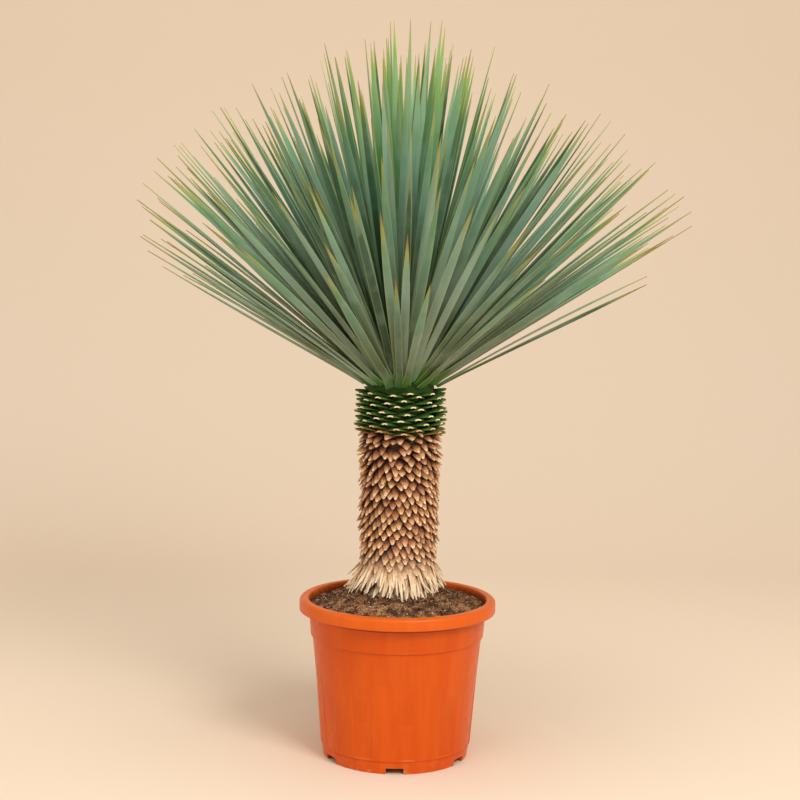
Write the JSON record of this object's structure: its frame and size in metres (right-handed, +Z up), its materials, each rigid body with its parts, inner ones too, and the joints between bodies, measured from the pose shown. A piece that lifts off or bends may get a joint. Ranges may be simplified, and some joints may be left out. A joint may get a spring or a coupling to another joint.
{
  "type": "potted yucca",
  "caption": "Yucca in a round nursery pot: a scaly trunk of old leaf bases under a hemispherical crown of stiff, narrow sword leaves.",
  "frame": {"origin": "middle of the pot's foot, on the pot's axis, on the surface that the pot stands on", "axes": "+Z up along the pot's and the trunk's axis; -Y is the front, where one of the foot's drainage notches faces; +X to the right"},
  "size_m": [0.9602, 0.9602, 1.2551],
  "materials": {
    "pot_plastic": "satin",
    "soil": "matte",
    "bark": "matte",
    "leaf": "satin"
  },
  "bodies": {
    "root": {"pot": "pot_plastic", "soil": "soil", "trunk": "bark", "leaf_01": "leaf", "leaf_02": "leaf", "leaf_03": "leaf", "leaf_04": "leaf", "leaf_05": "leaf", "leaf_06": "leaf", "leaf_07": "leaf", "leaf_08": "leaf", "leaf_09": "leaf", "leaf_10": "leaf", "leaf_11": "leaf", "leaf_12": "leaf", "leaf_13": "leaf", "leaf_14": "leaf", "leaf_15": "leaf", "leaf_16": "leaf", "leaf_17": "leaf", "leaf_18": "leaf", "leaf_19": "leaf", "leaf_20": "leaf", "leaf_21": "leaf", "leaf_22": "leaf", "leaf_23": "leaf", "leaf_24": "leaf", "leaf_25": "leaf", "leaf_26": "leaf", "leaf_27": "leaf", "leaf_28": "leaf", "leaf_29": "leaf", "leaf_30": "leaf", "leaf_31": "leaf", "leaf_32": "leaf", "leaf_33": "leaf", "leaf_34": "leaf", "leaf_35": "leaf", "leaf_36": "leaf", "leaf_37": "leaf", "leaf_38": "leaf", "leaf_39": "leaf", "leaf_40": "leaf", "leaf_41": "leaf", "leaf_42": "leaf", "leaf_43": "leaf", "leaf_44": "leaf", "leaf_45": "leaf", "leaf_46": "leaf", "leaf_47": "leaf", "leaf_48": "leaf", "leaf_49": "leaf", "leaf_50": "leaf", "leaf_51": "leaf", "leaf_52": "leaf", "leaf_53": "leaf", "leaf_54": "leaf", "leaf_55": "leaf", "leaf_56": "leaf"}
  },
  "joints": []
}
